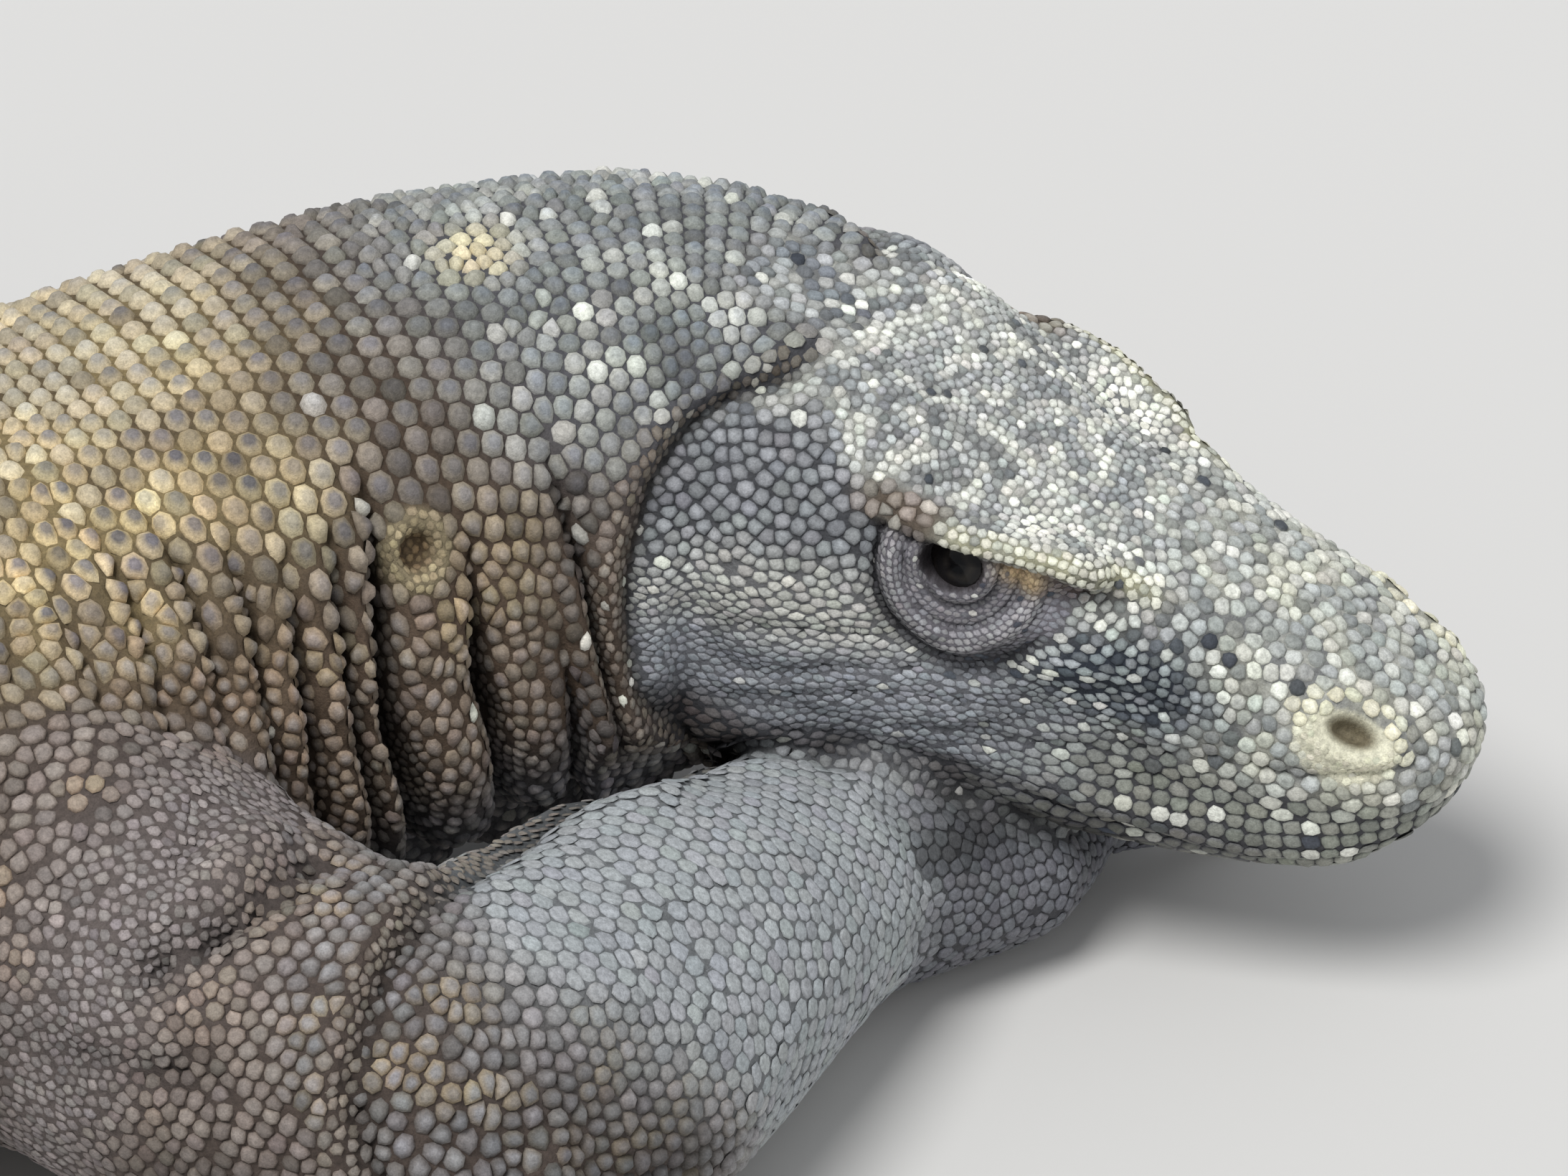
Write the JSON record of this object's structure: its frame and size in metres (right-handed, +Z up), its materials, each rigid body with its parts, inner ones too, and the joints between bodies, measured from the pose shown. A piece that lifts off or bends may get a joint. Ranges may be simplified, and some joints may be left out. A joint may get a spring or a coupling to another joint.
{
  "type": "komodo dragon model",
  "caption": "Still, life-size Komodo dragon at rest on its belly, head laid over its right forefoot, for display on a floor.",
  "frame": {"origin": "on the floor, under the middle of the belly", "axes": "+X along the trunk towards the neck, +Y to the animal's left, +Z up"},
  "size_m": [2.1978, 0.7579, 0.1673],
  "materials": {
    "skin": "matte, beaded with keeled and flat scales",
    "eye": "wet gloss, dark brown iris",
    "claw": "horn, low sheen"
  },
  "bodies": {
    "root": {"head": "skin", "lower_jaw": "skin", "eye_right": "eye", "eye_left": "eye", "neck": "skin", "trunk_front": "skin", "trunk_rear": "skin", "tail_base": "skin", "tail_middle": "skin", "tail_end": "skin", "front_right_upper": "skin", "front_right_lower": "skin", "front_right_foot": "skin", "front_right_claw_1": "claw", "front_right_claw_2": "claw", "front_right_claw_3": "claw", "front_right_claw_4": "claw", "front_right_claw_5": "claw", "front_left_upper": "skin", "front_left_lower": "skin", "front_left_foot": "skin", "front_left_claw_1": "claw", "front_left_claw_2": "claw", "front_left_claw_3": "claw", "front_left_claw_4": "claw", "front_left_claw_5": "claw", "hind_right_upper": "skin", "hind_right_lower": "skin", "hind_right_foot": "skin", "hind_right_claw_1": "claw", "hind_right_claw_2": "claw", "hind_right_claw_3": "claw", "hind_right_claw_4": "claw", "hind_right_claw_5": "claw", "hind_left_upper": "skin", "hind_left_lower": "skin", "hind_left_foot": "skin", "hind_left_claw_1": "claw", "hind_left_claw_2": "claw", "hind_left_claw_3": "claw", "hind_left_claw_4": "claw", "hind_left_claw_5": "claw"}
  },
  "joints": []
}
